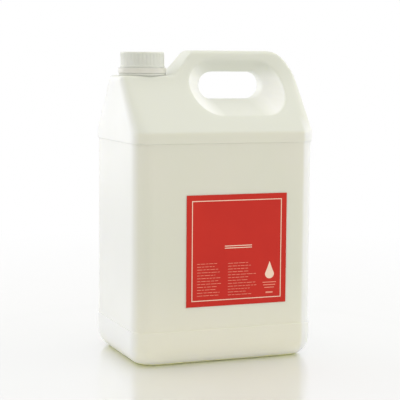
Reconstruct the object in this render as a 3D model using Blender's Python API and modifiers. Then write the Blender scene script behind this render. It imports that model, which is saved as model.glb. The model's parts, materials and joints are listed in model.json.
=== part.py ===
"""Five litre jerrycan of liquid soap with a moulded-in handle and a screw cap.

Lengths are in metres. The base stands on z = 0, +X runs along the wide front and the front
faces -Y. The can is one blown shell: a body with a gable shoulder that carries the neck at its
left and the hollow handle at its right. The cap turns on the neck's thread, the tamper ring
hangs on the bead below it, and the soap fills the body up to the shoulder fold.
"""
import math

import bmesh
import bpy
from mathutils import Matrix, Vector

MM = 0.001

# Body of the can, outside sizes
CAN_WIDTH = 182.0 * MM
CAN_DEPTH = 131.7 * MM
CAN_HEIGHT = 292.5 * MM
WALL = 1.0 * MM
BODY_CORNER_RADIUS = 16.3 * MM
RIDGE_CORNER_RADIUS = 8.0 * MM
CORNER_STEPS = 6

# Base: a standing rim round a shallow push-up, and a rounded lower edge
BASE_EDGE_IN = 12.0 * MM
BASE_EDGE_UP = 20.0 * MM
BASE_EDGE_STEPS = 6
STANDING_RIM_WIDTH = 9.0 * MM
PUSH_UP_SLOPE_WIDTH = 4.0 * MM
PUSH_UP_HEIGHT = 1.6 * MM

# Gable shoulder: its height, then rises above the fold and half depths up to the ridge
GABLE_HEIGHT = 75.5 * MM
SLOPE_END_RISE = 38.0 * MM
SLOPE_END_HALF = 30.5 * MM
RIDGE_BEND_RISE = 53.2 * MM
RIDGE_BEND_HALF = 16.4 * MM
RIDGE_HALF = 14.5 * MM
RIDGE_BEND_STEPS = 7
RIDGE_EDGE_RADIUS = 3.5 * MM
RIDGE_EDGE_STEPS = 3
FOLD_HEIGHT = CAN_HEIGHT - GABLE_HEIGHT
SLOPE_END_HEIGHT = FOLD_HEIGHT + SLOPE_END_RISE
RIDGE_BEND_HEIGHT = FOLD_HEIGHT + RIDGE_BEND_RISE

# Recessed band that protects the label
BAND_DEPTH = 0.85 * MM
BAND_BOTTOM = 33.0 * MM
BAND_BELOW_FOLD = 10.5 * MM
BAND_STEP_HEIGHT = 1.2 * MM
BAND_TOP = FOLD_HEIGHT - BAND_BELOW_FOLD

# Neck with its foot collar, its thread and the bead that holds the tamper ring
NECK_FROM_SIDE = 28.3 * MM
NECK_RADIUS = 17.3 * MM
NECK_WALL = 1.9 * MM
NECK_EDGE_CHAMFER = 0.6 * MM
NECK_ROOT_DEPTH = 0.5 * MM
BORE_ROOT_DEPTH = 4.0 * MM
COLLAR_OUT = 2.7 * MM
COLLAR_EDGE_CHAMFER = 0.4 * MM
BEAD_OUT = 3.4 * MM
BEAD_HEIGHT = 1.3 * MM
BEAD_SLOPE_HEIGHT = 1.6 * MM
THREAD_PITCH = 5.0 * MM
THREAD_DEPTH = 1.25 * MM
THREAD_ROOT_HEIGHT = 2.4 * MM
THREAD_CREST_HEIGHT = 1.0 * MM
THREAD_SINK = 0.5 * MM
THREAD_RUN_OUT_TURNS = 0.125
THREAD_STEPS_PER_TURN = 30
THREAD_START_ANGLE = math.radians(2.1)
NECK_THREAD_ABOVE_CAP_EDGE = 3.0 * MM
NECK_THREAD_BELOW_MOUTH = 1.7 * MM
CAP_THREAD_ABOVE_EDGE = 2.0 * MM
CAP_THREAD_BELOW_TOP = 4.0 * MM
FIT_GAP = 0.3 * MM
THREAD_GAP = 0.4 * MM
NECK_X = NECK_FROM_SIDE - CAN_WIDTH / 2
BORE_RADIUS = NECK_RADIUS - NECK_WALL
COLLAR_RADIUS = NECK_RADIUS + COLLAR_OUT
BEAD_RADIUS = NECK_RADIUS + BEAD_OUT

# Tamper ring, hooked under the bead
RING_CLEARANCE = 1.1 * MM
RING_WALL = 1.0 * MM
RING_HEIGHT = 4.8 * MM
RING_EDGE_CHAMFER = 0.3 * MM
RING_HOOK_CATCH = 0.4 * MM
RING_HOOK_HEIGHT = 1.2 * MM
RING_BELOW_BEAD = 2.2 * MM
RING_STAND_OFF = 2.2 * MM
RING_RADIUS = BEAD_RADIUS + RING_CLEARANCE + RING_WALL

# Screw cap and wad
CAP_HEIGHT = 14.8 * MM
CAP_WALL = 1.4 * MM
CAP_TOP_THICKNESS = 1.3 * MM
CAP_EDGE_RADIUS = 1.2 * MM
CAP_EDGE_STEPS = 2
CAP_LIP_OUT = 0.5 * MM
CAP_LIP_HEIGHT = 1.5 * MM
CAP_ABOVE_RING = 0.4 * MM
RIB_COUNT = 36
RIB_DEPTH = 0.45 * MM
RIB_WIDTH_SHARE = 0.45
WAD_THICKNESS = 1.2 * MM
TURNED_STEPS = 48
CAP_RADIUS = NECK_RADIUS + THREAD_DEPTH + THREAD_GAP + CAP_WALL + RIB_DEPTH
CAP_LIP_RADIUS = CAP_RADIUS + CAP_LIP_OUT

# Front outline: neck plateau, slope up to the handle, and the handle's round right end
HANDLE_ABOVE_PLATEAU = 24.0 * MM
PLATEAU_CORNER_RADIUS = 4.0 * MM
SLOPE_FOOT_GAP = 2.4 * MM
SLOPE_FOOT_RADIUS = 7.0 * MM
SLOPE_WIDTH = 20.0 * MM
HANDLE_LEFT_RADIUS = 7.0 * MM
HANDLE_RIGHT_INSET = 30.0 * MM
HANDLE_RIGHT_DROP = 48.0 * MM
OUTLINE_STEPS = 5
END_ARC_STEPS = 9
PLATEAU_HEIGHT = CAN_HEIGHT - HANDLE_ABOVE_PLATEAU
SLOPE_FOOT_X = NECK_X + RING_RADIUS + SLOPE_FOOT_GAP
HANDLE_LEFT_X = SLOPE_FOOT_X + SLOPE_WIDTH
HANDLE_RIGHT_X = CAN_WIDTH / 2 - HANDLE_RIGHT_INSET

# Hand hole: a straight tunnel through the ridge, flared out to a wide rim on both slopes
TUNNEL_FROM_HANDLE_LEFT = 9.5 * MM
TUNNEL_FROM_SIDE = 32.2 * MM
TUNNEL_BELOW_TOP = 20.1 * MM
TUNNEL_HEIGHT = 26.2 * MM
TUNNEL_HALF_DEPTH = 7.0 * MM
RIM_LEFT_OF_HANDLE = 7.5 * MM
RIM_FROM_SIDE = 18.5 * MM
RIM_BELOW_TOP = 8.4 * MM
RIM_HEIGHT = 53.3 * MM
RIM_END_STRAIGHT = 1.3 * MM
HOLE_END_STEPS = 6
FLARE_OVERSHOOT = 1.3
TUNNEL_LEFT_X = HANDLE_LEFT_X + TUNNEL_FROM_HANDLE_LEFT
TUNNEL_RIGHT_X = CAN_WIDTH / 2 - TUNNEL_FROM_SIDE
TUNNEL_TOP = CAN_HEIGHT - TUNNEL_BELOW_TOP
TUNNEL_BOTTOM = TUNNEL_TOP - TUNNEL_HEIGHT
RIM_LEFT_X = HANDLE_LEFT_X - RIM_LEFT_OF_HANDLE
RIM_RIGHT_X = CAN_WIDTH / 2 - RIM_FROM_SIDE
RIM_TOP = CAN_HEIGHT - RIM_BELOW_TOP
RIM_BOTTOM = RIM_TOP - RIM_HEIGHT
RIM_END_RADIUS = (RIM_HEIGHT - RIM_END_STRAIGHT) / 2

# Places up the neck, stacked from the plateau to the top of the cap
RING_BOTTOM = PLATEAU_HEIGHT + RING_STAND_OFF
RING_TOP = RING_BOTTOM + RING_HEIGHT
BEAD_BOTTOM = RING_BOTTOM + RING_BELOW_BEAD
CAP_BOTTOM = RING_TOP + CAP_ABOVE_RING
CAP_TOP = CAP_BOTTOM + CAP_HEIGHT
CAP_INSIDE_TOP = CAP_TOP - CAP_TOP_THICKNESS
WAD_TOP = CAP_INSIDE_TOP - FIT_GAP
WAD_BOTTOM = WAD_TOP - WAD_THICKNESS
MOUTH_HEIGHT = WAD_BOTTOM - FIT_GAP

# Soap and label
SOAP_LEVEL = FOLD_HEIGHT
LABEL_WIDTH = 101.1 * MM
LABEL_HEIGHT = 104.5 * MM
LABEL_THICKNESS = 0.25 * MM
LABEL_X = 9.2 * MM
LABEL_ABOVE_BAND_BOTTOM = 21.75 * MM

HALF_WIDTH = CAN_WIDTH / 2
HALF_DEPTH = CAN_DEPTH / 2
SHARP_EDGE_ANGLE = math.radians(35)
MERGE_DISTANCE = 0.01 * MM
CLEAR = 0.05 * MM
FAR = 0.05

PART_NAME = "soap_refill_jerrycan"
CUTTER_NAME = "cutters"


def clear_scene():
    """Remove every object that is in the file."""
    for old in list(bpy.data.objects):
        bpy.data.objects.remove(old, do_unlink=True)


def new_collection(name):
    """Add a collection to the scene."""
    collection = bpy.data.collections.new(name)
    bpy.context.scene.collection.children.link(collection)
    return collection


def new_material(name, colour, roughness, alpha=1.0):
    """Plain plastic or paper finish."""
    material = bpy.data.materials.new(name)
    material.use_nodes = True
    shader = material.node_tree.nodes["Principled BSDF"]
    shader.inputs["Base Color"].default_value = (*colour, 1.0)
    shader.inputs["Roughness"].default_value = roughness
    shader.inputs["Metallic"].default_value = 0.0
    shader.inputs["Alpha"].default_value = alpha
    return material


def object_from_bmesh(name, bm, collection):
    """Turn a bmesh into a linked object with its faces pointing outwards."""
    bmesh.ops.recalc_face_normals(bm, faces=bm.faces)
    mesh = bpy.data.meshes.new(name)
    bm.to_mesh(mesh)
    bm.free()
    made = bpy.data.objects.new(name, mesh)
    collection.objects.link(made)
    return made


def combine(target, other, operation):
    """Apply an exact Boolean of other to target, and remove other."""
    modifier = target.modifiers.new(operation.lower(), "BOOLEAN")
    modifier.operation = operation
    modifier.solver = "EXACT"
    modifier.object = other
    bpy.context.view_layer.update()
    depsgraph = bpy.context.evaluated_depsgraph_get()
    result = bpy.data.meshes.new_from_object(target.evaluated_get(depsgraph))
    target.modifiers.clear()
    old_mesh = target.data
    target.data = result
    bpy.data.meshes.remove(old_mesh)
    bpy.data.objects.remove(other, do_unlink=True)


def rounded_rectangle(half_x, half_y, radius, steps):
    """Points of a rectangle with round corners about the origin, anticlockwise."""
    points = []
    for corner in range(4):
        sign_x = 1 if corner in (0, 3) else -1
        sign_y = 1 if corner in (0, 1) else -1
        centre = Vector((sign_x * (half_x - radius), sign_y * (half_y - radius)))
        for step in range(steps + 1):
            angle = math.radians(90) * (corner + step / steps)
            points.append(centre + radius * Vector((math.cos(angle), math.sin(angle))))
    return points


def filleted_outline(corners, steps):
    """Round each (x, z, radius) corner of an outline; a radius of 0 stays sharp."""
    points = []
    count = len(corners)
    for index, (x, z, radius) in enumerate(corners):
        corner = Vector((x, z))
        if radius == 0:
            points.append(corner)
            continue
        before = (Vector(corners[index - 1][:2]) - corner).normalized()
        after = (Vector(corners[(index + 1) % count][:2]) - corner).normalized()
        half = before.angle(after) / 2
        centre = corner + (before + after).normalized() * radius / math.sin(half)
        start = corner + before * radius / math.tan(half) - centre
        end = corner + after * radius / math.tan(half) - centre
        turn = start.angle_signed(end)
        for step in range(steps + 1):
            points.append(centre + Matrix.Rotation(-turn * step / steps, 2) @ start)
    return points


def offset_points(points, distance, closed):
    """Move an outline sideways, to the right of its direction, with mitred corners."""
    moved = []
    last = len(points) - 1
    for index, point in enumerate(points):
        before = points[index - 1] if index > 0 or closed else None
        after = points[(index + 1) % len(points)] if index < last or closed else None
        sides = []
        if before is not None:
            run = (point - before).normalized()
            sides.append(Vector((run.y, -run.x)))
        if after is not None:
            run = (after - point).normalized()
            sides.append(Vector((run.y, -run.x)))
        middle = sum(sides, Vector((0, 0))).normalized()
        moved.append(point + middle * distance / middle.dot(sides[0]))
    return moved


def bridge_rings(bm, rings):
    """Join rings of equal length with flat triangles, and close the first and last ring."""
    loops = [[bm.verts.new(point) for point in ring] for ring in rings]
    for low, high in zip(loops, loops[1:]):
        for index in range(len(low)):
            after = (index + 1) % len(low)
            bm.faces.new((low[index], low[after], high[after], high[index]))
    bm.faces.new(list(reversed(loops[0])))
    bm.faces.new(loops[-1])
    bmesh.ops.triangulate(bm, faces=bm.faces)


def body_profile():
    """Half-depth and height of the can's side, from the middle of its base up to the fold."""
    push_up_edge = BASE_EDGE_IN + STANDING_RIM_WIDTH
    band_half = HALF_DEPTH - BAND_DEPTH
    points = [
        Vector((HALF_DEPTH - push_up_edge - PUSH_UP_SLOPE_WIDTH, PUSH_UP_HEIGHT)),
        Vector((HALF_DEPTH - push_up_edge, 0)),
    ]
    for step in range(BASE_EDGE_STEPS + 1):
        angle = math.radians(90) * step / BASE_EDGE_STEPS
        inset = BASE_EDGE_IN * (1 - math.sin(angle))
        points.append(Vector((HALF_DEPTH - inset, BASE_EDGE_UP * (1 - math.cos(angle)))))
    points.append(Vector((HALF_DEPTH, BAND_BOTTOM - BAND_STEP_HEIGHT)))
    points.append(Vector((band_half, BAND_BOTTOM)))
    points.append(Vector((band_half, BAND_TOP)))
    points.append(Vector((HALF_DEPTH, BAND_TOP + BAND_STEP_HEIGHT)))
    return points


def gable_profile():
    """Half-depth and height of the can's side, from the fold up to the flat of the ridge."""
    points = [Vector((HALF_DEPTH, FOLD_HEIGHT))]
    slope_end = Vector((SLOPE_END_HALF, SLOPE_END_HEIGHT))
    bend = Vector((RIDGE_BEND_HALF, RIDGE_BEND_HEIGHT))
    ridge = Vector((RIDGE_HALF, CAN_HEIGHT - RIDGE_EDGE_RADIUS))
    for step in range(RIDGE_BEND_STEPS + 1):
        share = step / RIDGE_BEND_STEPS
        low = slope_end.lerp(bend, share)
        high = bend.lerp(ridge, share)
        points.append(low.lerp(high, share))
    centre = ridge - Vector((RIDGE_EDGE_RADIUS, 0))
    for step in range(1, RIDGE_EDGE_STEPS + 1):
        angle = math.radians(90) * step / RIDGE_EDGE_STEPS
        points.append(centre + RIDGE_EDGE_RADIUS * Vector((math.cos(angle), math.sin(angle))))
    return points


def gable_half_depth(height):
    """Half the can's outside depth at a height on the gable."""
    points = gable_profile()
    for low, high in zip(points, points[1:]):
        if height <= high.y:
            return low.x + (high.x - low.x) * (height - low.y) / (high.y - low.y)
    return points[-1].x


def corner_radius(height):
    """Plan radius of the can's vertical corners, which tighten up the gable."""
    share = (height - FOLD_HEIGHT) / (PLATEAU_HEIGHT - FOLD_HEIGHT)
    share = min(max(share, 0), 1)
    return BODY_CORNER_RADIUS + (RIDGE_CORNER_RADIUS - BODY_CORNER_RADIUS) * share


def can_loft(name, inset, collection):
    """The can's closed form without neck and handle outline, drawn in by inset."""
    body = body_profile()
    outside = body + gable_profile()
    profile = offset_points(outside, -inset, closed=False)
    profile[0] = Vector((profile[0].x, outside[0].y + inset))
    profile[-1] = Vector((profile[-1].x, outside[-1].y - inset))
    rings = []
    for index, (outer, point) in enumerate(zip(outside, profile)):
        drawn_in = HALF_DEPTH - point.x if index < len(body) else inset
        radius = corner_radius(outer.y) - inset
        ring = rounded_rectangle(HALF_WIDTH - drawn_in, point.x, radius, CORNER_STEPS)
        rings.append([Vector((flat.x, flat.y, point.y)) for flat in ring])
    bm = bmesh.new()
    bridge_rings(bm, rings)
    return object_from_bmesh(name, bm, collection)


def outline_cutter(name, points, collection):
    """Extrude a closed X-Z outline right through the can's depth."""
    curve = bpy.data.curves.new(name, "CURVE")
    curve.dimensions = "2D"
    curve.fill_mode = "BOTH"
    curve.extrude = HALF_DEPTH + FAR
    spline = curve.splines.new("POLY")
    spline.points.add(len(points) - 1)
    for spline_point, point in zip(spline.points, points):
        spline_point.co = (point.x, point.y, 0, 1)
    spline.use_cyclic_u = True
    guide = bpy.data.objects.new(name + "_outline", curve)
    collection.objects.link(guide)
    guide.matrix_world = Matrix.Rotation(math.radians(90), 4, "X")
    bpy.context.view_layer.update()
    depsgraph = bpy.context.evaluated_depsgraph_get()
    mesh = bpy.data.meshes.new_from_object(guide.evaluated_get(depsgraph))
    mesh.transform(guide.matrix_world)
    bpy.data.objects.remove(guide, do_unlink=True)
    bm = bmesh.new()
    bm.from_mesh(mesh)
    bpy.data.meshes.remove(mesh)
    bmesh.ops.remove_doubles(bm, verts=bm.verts, dist=MERGE_DISTANCE)
    return object_from_bmesh(name, bm, collection)


def above_plateau_outline(grow):
    """The air above the neck plateau, up to the handle's left slope."""
    side_x = -HALF_WIDTH - CLEAR
    below = PLATEAU_HEIGHT - 2 * PLATEAU_CORNER_RADIUS
    corners = [
        (side_x - FAR, below, 0),
        (side_x, below, 0),
        (side_x, PLATEAU_HEIGHT, PLATEAU_CORNER_RADIUS),
        (SLOPE_FOOT_X, PLATEAU_HEIGHT, SLOPE_FOOT_RADIUS),
        (HANDLE_LEFT_X, CAN_HEIGHT + CLEAR, HANDLE_LEFT_RADIUS),
        (HANDLE_LEFT_X + FAR, CAN_HEIGHT + CLEAR, 0),
        (HANDLE_LEFT_X + FAR, CAN_HEIGHT + FAR, 0),
        (side_x - FAR, CAN_HEIGHT + FAR, 0),
    ]
    return offset_points(filleted_outline(corners, OUTLINE_STEPS), grow, closed=True)


def beyond_end_outline(grow):
    """The air beyond the handle's round right end."""
    wide = HALF_WIDTH + CLEAR - HANDLE_RIGHT_X
    top = CAN_HEIGHT + CLEAR
    points = [Vector((HALF_WIDTH + FAR, top - HANDLE_RIGHT_DROP - FAR))]
    points.append(Vector((HALF_WIDTH + FAR, top + FAR)))
    points.append(Vector((HANDLE_RIGHT_X - FAR, top + FAR)))
    points.append(Vector((HANDLE_RIGHT_X - FAR, top)))
    for step in range(END_ARC_STEPS + 1):
        angle = math.radians(90) * (1 - step / END_ARC_STEPS)
        x = HANDLE_RIGHT_X + wide * math.cos(angle)
        z = top - HANDLE_RIGHT_DROP * (1 - math.sin(angle))
        points.append(Vector((x, z)))
    points.append(Vector((HALF_WIDTH + CLEAR, top - HANDLE_RIGHT_DROP - FAR)))
    return offset_points(points, grow, closed=True)


def hand_hole_cutter(name, grow, collection):
    """The hand hole: tunnel, flares and the air in front of and behind them."""
    tunnel_radius = (TUNNEL_TOP - TUNNEL_BOTTOM) / 2 - CLEAR
    tunnel = filleted_outline([
        (TUNNEL_RIGHT_X, TUNNEL_TOP, tunnel_radius),
        (TUNNEL_LEFT_X, TUNNEL_TOP, tunnel_radius),
        (TUNNEL_LEFT_X, TUNNEL_BOTTOM, tunnel_radius),
        (TUNNEL_RIGHT_X, TUNNEL_BOTTOM, tunnel_radius),
    ], HOLE_END_STEPS)
    rim = filleted_outline([
        (RIM_RIGHT_X, RIM_TOP, RIM_END_RADIUS),
        (RIM_LEFT_X, RIM_TOP, RIM_END_RADIUS),
        (RIM_LEFT_X, RIM_BOTTOM, RIM_END_RADIUS),
        (RIM_RIGHT_X, RIM_BOTTOM, RIM_END_RADIUS),
    ], HOLE_END_STEPS)
    inner_ring = []
    outer_ring = []
    for tunnel_point, rim_point in zip(tunnel, rim):
        inner = Vector((tunnel_point.x, TUNNEL_HALF_DEPTH, tunnel_point.y))
        on_slope = Vector((rim_point.x, gable_half_depth(rim_point.y), rim_point.y))
        inner_ring.append(inner)
        outer_ring.append(inner.lerp(on_slope, FLARE_OVERSHOOT))
    far_ring = [Vector((point.x, HALF_DEPTH + FAR, point.z)) for point in outer_ring]
    half_rings = [far_ring, outer_ring, inner_ring]
    front_rings = [[Vector((p.x, -p.y, p.z)) for p in ring] for ring in reversed(half_rings)]
    bm = bmesh.new()
    bridge_rings(bm, half_rings + front_rings)
    bmesh.ops.recalc_face_normals(bm, faces=bm.faces)
    if grow > 0:
        bm.normal_update()
        for vert in bm.verts:
            vert.co += vert.normal * vert.calc_shell_factor() * grow
    return object_from_bmesh(name, bm, collection)


def turned_solid(name, profile, centre_x, collection, phase=0.0):
    """Turn a closed (radius, height) profile, running down its outer side, about a vertical axis.

    The phase turns the finished facets, to keep them off those of a concentric piece.
    """
    bm = bmesh.new()
    verts = [bm.verts.new((radius, 0, height)) for radius, height in profile]
    for start, end in zip(verts, verts[1:]):
        bm.edges.new((start, end))
    if profile[0][0] > 0:
        bm.edges.new((verts[-1], verts[0]))
    mesh = bpy.data.meshes.new(name)
    bm.to_mesh(mesh)
    bm.free()
    turned = bpy.data.objects.new(name, mesh)
    collection.objects.link(turned)
    screw = turned.modifiers.new("turn", "SCREW")
    screw.steps = TURNED_STEPS
    screw.render_steps = TURNED_STEPS
    screw.use_merge_vertices = True
    screw.merge_threshold = MERGE_DISTANCE
    bpy.context.view_layer.update()
    depsgraph = bpy.context.evaluated_depsgraph_get()
    solid = bpy.data.meshes.new_from_object(turned.evaluated_get(depsgraph))
    solid.transform(Matrix.Translation((centre_x, 0, 0)) @ Matrix.Rotation(phase, 4, "Z"))
    turned.modifiers.clear()
    turned.data = solid
    bpy.data.meshes.remove(mesh)
    return turned


def thread_ridge(name, wall_radius, direction, height, turns, collection):
    """A right-hand thread ridge standing out from a wall, outwards (+1) or inwards (-1).

    The helix is at height when its turn is 0, and the ridge runs from turns[0] to turns[1].
    """
    count = round((turns[1] - turns[0]) * THREAD_STEPS_PER_TURN)
    run_out = THREAD_STEPS_PER_TURN * THREAD_RUN_OUT_TURNS
    rings = []
    for step in range(count + 1):
        turned = turns[0] + step / THREAD_STEPS_PER_TURN
        angle = THREAD_START_ANGLE + 2 * math.pi * turned
        middle = height + THREAD_PITCH * turned
        full = min(1, (step + 1) / run_out, (count - step + 1) / run_out)
        foot = wall_radius - direction * THREAD_SINK
        crest = wall_radius + direction * THREAD_DEPTH * full
        section = [
            (foot, -THREAD_ROOT_HEIGHT / 2),
            (crest, -THREAD_CREST_HEIGHT / 2),
            (crest, THREAD_CREST_HEIGHT / 2),
            (foot, THREAD_ROOT_HEIGHT / 2),
        ]
        turn = Vector((math.cos(angle), math.sin(angle), 0))
        ring = [turn * radius + Vector((NECK_X, 0, middle + rise)) for radius, rise in section]
        rings.append(ring)
    bm = bmesh.new()
    bridge_rings(bm, rings)
    return object_from_bmesh(name, bm, collection)


def neck_solid(collection):
    """Neck tube with collar, thread and the bead that holds the tamper ring, not yet bored."""
    bead_top = BEAD_BOTTOM + BEAD_HEIGHT
    root = PLATEAU_HEIGHT - NECK_ROOT_DEPTH
    collar_top = RING_BOTTOM - FIT_GAP
    profile = [
        (0, MOUTH_HEIGHT),
        (NECK_RADIUS - NECK_EDGE_CHAMFER, MOUTH_HEIGHT),
        (NECK_RADIUS, MOUTH_HEIGHT - NECK_EDGE_CHAMFER),
        (NECK_RADIUS, bead_top + BEAD_SLOPE_HEIGHT),
        (BEAD_RADIUS, bead_top),
        (BEAD_RADIUS, BEAD_BOTTOM),
        (NECK_RADIUS, BEAD_BOTTOM),
        (NECK_RADIUS, collar_top),
        (COLLAR_RADIUS - COLLAR_EDGE_CHAMFER, collar_top),
        (COLLAR_RADIUS, collar_top - COLLAR_EDGE_CHAMFER),
        (COLLAR_RADIUS, root),
        (0, root),
    ]
    neck = turned_solid("neck", profile, NECK_X, collection)
    start = CAP_BOTTOM + NECK_THREAD_ABOVE_CAP_EDGE
    end = MOUTH_HEIGHT - NECK_THREAD_BELOW_MOUTH
    turns = (0, (end - start) / THREAD_PITCH)
    ridge = thread_ridge("neck_thread", NECK_RADIUS, 1, start, turns, collection)
    combine(neck, ridge, "UNION")
    return neck


def cut_outline(target, grow, collection):
    """Give a can form its plateau, its round handle end and its hand hole."""
    plateau = outline_cutter("plateau_cut", above_plateau_outline(grow), collection)
    combine(target, plateau, "DIFFERENCE")
    end = outline_cutter("end_cut", beyond_end_outline(grow), collection)
    combine(target, end, "DIFFERENCE")
    combine(target, hand_hole_cutter("hole_cut", grow, collection), "DIFFERENCE")


def make_can(parts, cutters):
    """The blown shell: outer form with its neck, less the cavity and the neck bore."""
    can = can_loft("can_body", 0, parts)
    cut_outline(can, 0, cutters)
    combine(can, neck_solid(cutters), "UNION")
    cavity = can_loft("cavity", WALL, cutters)
    cut_outline(cavity, WALL, cutters)
    combine(can, cavity, "DIFFERENCE")
    bore_bottom = PLATEAU_HEIGHT - BORE_ROOT_DEPTH
    bore_profile = [
        (0, MOUTH_HEIGHT + FAR),
        (BORE_RADIUS, MOUTH_HEIGHT + FAR),
        (BORE_RADIUS, bore_bottom),
        (0, bore_bottom),
    ]
    bore = turned_solid("bore", bore_profile, NECK_X, cutters, math.pi / TURNED_STEPS)
    combine(can, bore, "DIFFERENCE")
    can.data.materials.append(new_material("natural_plastic", (0.80, 0.80, 0.70), 0.42, 0.75))
    return can


def ribbed_ring(height, inset):
    """The cap's grip in plan at a height: each rib has a flat crest and a pointed valley."""
    points = []
    for rib in range(RIB_COUNT):
        for radius, share in (
            (CAP_RADIUS - RIB_DEPTH, 0),
            (CAP_RADIUS, (1 - RIB_WIDTH_SHARE) / 2),
            (CAP_RADIUS, (1 + RIB_WIDTH_SHARE) / 2),
        ):
            angle = 2 * math.pi * (rib + share) / RIB_COUNT
            across = radius - inset
            points.append(Vector((NECK_X + across * math.cos(angle), across * math.sin(angle), height)))
    return points


def lip_ring(height):
    """The cap's plain lip in plan, with as many points as the ribbed grip has."""
    count = len(ribbed_ring(height, 0))
    points = []
    for step in range(count):
        angle = 2 * math.pi * step / count
        points.append(Vector((
            NECK_X + CAP_LIP_RADIUS * math.cos(angle),
            CAP_LIP_RADIUS * math.sin(angle),
            height,
        )))
    return points


def make_cap(parts, cutters):
    """Screw cap: ribbed skirt with a plain lip, a flat top and an inner thread."""
    edge_start = CAP_TOP - CAP_EDGE_RADIUS
    rings = [
        lip_ring(CAP_BOTTOM),
        lip_ring(CAP_BOTTOM + CAP_LIP_HEIGHT),
        ribbed_ring(CAP_BOTTOM + CAP_LIP_HEIGHT + CAP_LIP_OUT, 0),
        ribbed_ring(edge_start, 0),
    ]
    for step in range(1, CAP_EDGE_STEPS + 1):
        angle = math.radians(90) * step / CAP_EDGE_STEPS
        rise = CAP_EDGE_RADIUS * math.sin(angle)
        inset = CAP_EDGE_RADIUS * (1 - math.cos(angle))
        rings.append(ribbed_ring(edge_start + rise, inset))
    bm = bmesh.new()
    bridge_rings(bm, rings)
    cap = object_from_bmesh("screw_cap", bm, parts)
    inner_radius = CAP_RADIUS - RIB_DEPTH - CAP_WALL
    hollow_profile = [
        (0, CAP_INSIDE_TOP),
        (inner_radius, CAP_INSIDE_TOP),
        (inner_radius, CAP_BOTTOM - FAR),
        (0, CAP_BOTTOM - FAR),
    ]
    combine(cap, turned_solid("cap_hollow", hollow_profile, NECK_X, cutters), "DIFFERENCE")
    between = CAP_BOTTOM + NECK_THREAD_ABOVE_CAP_EDGE - THREAD_PITCH / 2
    turns = (
        (CAP_BOTTOM + CAP_THREAD_ABOVE_EDGE - between) / THREAD_PITCH,
        (CAP_INSIDE_TOP - CAP_THREAD_BELOW_TOP - between) / THREAD_PITCH,
    )
    ridge = thread_ridge("cap_thread", inner_radius, -1, between, turns, cutters)
    combine(cap, ridge, "UNION")
    cap.data.materials.append(new_material("cap_plastic", (0.74, 0.74, 0.66), 0.35))
    return cap


def make_wad(parts):
    """Flat sealing disc held under the cap's top."""
    radius = NECK_RADIUS + THREAD_DEPTH
    profile = [(0, WAD_TOP), (radius, WAD_TOP), (radius, WAD_BOTTOM), (0, WAD_BOTTOM)]
    wad = turned_solid("cap_liner", profile, NECK_X, parts)
    wad.data.materials.append(new_material("liner_foam", (0.90, 0.90, 0.88), 0.6))
    return wad


def make_ring(parts):
    """Tamper ring that stays on the neck, hooked under its bead."""
    inner = RING_RADIUS - RING_WALL
    hook_top = BEAD_BOTTOM - FIT_GAP
    hook_inner = BEAD_RADIUS - RING_HOOK_CATCH
    profile = [
        (inner, RING_TOP),
        (RING_RADIUS - RING_EDGE_CHAMFER, RING_TOP),
        (RING_RADIUS, RING_TOP - RING_EDGE_CHAMFER),
        (RING_RADIUS, RING_BOTTOM),
        (inner, RING_BOTTOM),
        (hook_inner, hook_top - RING_HOOK_HEIGHT),
        (hook_inner, hook_top),
        (inner, hook_top),
    ]
    ring = turned_solid("tamper_ring", profile, NECK_X, parts)
    ring.data.materials.append(new_material("ring_plastic", (0.74, 0.74, 0.66), 0.35))
    return ring


def make_soap(parts, cutters):
    """The liquid in the body, clear of the wall, with a level top."""
    soap = can_loft("liquid_soap", WALL + FIT_GAP, parts)
    bpy.ops.mesh.primitive_cube_add(size=1, location=(0, 0, SOAP_LEVEL + CAN_HEIGHT / 2))
    air = bpy.context.active_object
    air.name = "air"
    for collection in list(air.users_collection):
        collection.objects.unlink(air)
    cutters.objects.link(air)
    air.data.transform(Matrix.Diagonal((CAN_WIDTH + FAR, CAN_DEPTH + FAR, CAN_HEIGHT, 1)))
    combine(soap, air, "DIFFERENCE")
    soap.data.materials.append(new_material("soap", (0.72, 0.74, 0.55), 0.2, 0.9))
    return soap


def make_label(parts):
    """Square label on the recessed front."""
    bpy.ops.mesh.primitive_cube_add(size=1)
    label = bpy.context.active_object
    label.name = "front_label"
    for collection in list(label.users_collection):
        collection.objects.unlink(label)
    parts.objects.link(label)
    label.data.transform(Matrix.Diagonal((LABEL_WIDTH, LABEL_THICKNESS, LABEL_HEIGHT, 1)))
    back = -(HALF_DEPTH - BAND_DEPTH) - FIT_GAP
    middle = BAND_BOTTOM + LABEL_ABOVE_BAND_BOTTOM + LABEL_HEIGHT / 2
    label.location = (LABEL_X, back - LABEL_THICKNESS / 2, middle)
    label.data.materials.append(new_material("label_paper", (0.56, 0.03, 0.02), 0.5))
    return label


def shade(target):
    """Smooth the round faces and keep the true edges."""
    target.data.shade_smooth()
    target.data.set_sharp_from_angle(angle=SHARP_EDGE_ANGLE)


def main():
    """Build every piece of the jerrycan."""
    clear_scene()
    parts = new_collection(PART_NAME)
    cutters = new_collection(CUTTER_NAME)
    pieces = [
        make_can(parts, cutters),
        make_cap(parts, cutters),
        make_wad(parts),
        make_ring(parts),
        make_soap(parts, cutters),
        make_label(parts),
    ]
    for piece in pieces:
        shade(piece)


main()
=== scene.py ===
"""Looks of the five litre soap jerrycan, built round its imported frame.

Lengths are in metres in the frame's own axes: the base stands on z = 0, +X runs along the wide
front and the front faces -Y. Each sub-assembly is a class that builds its meshes, gives them
their finishes and sets them on the frame's bodies.
"""
import json
import logging
import math
import random
from dataclasses import dataclass, field
from enum import Enum
from typing import Callable, Iterable, Optional

import bpy
from mathutils import Matrix, Vector

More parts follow.
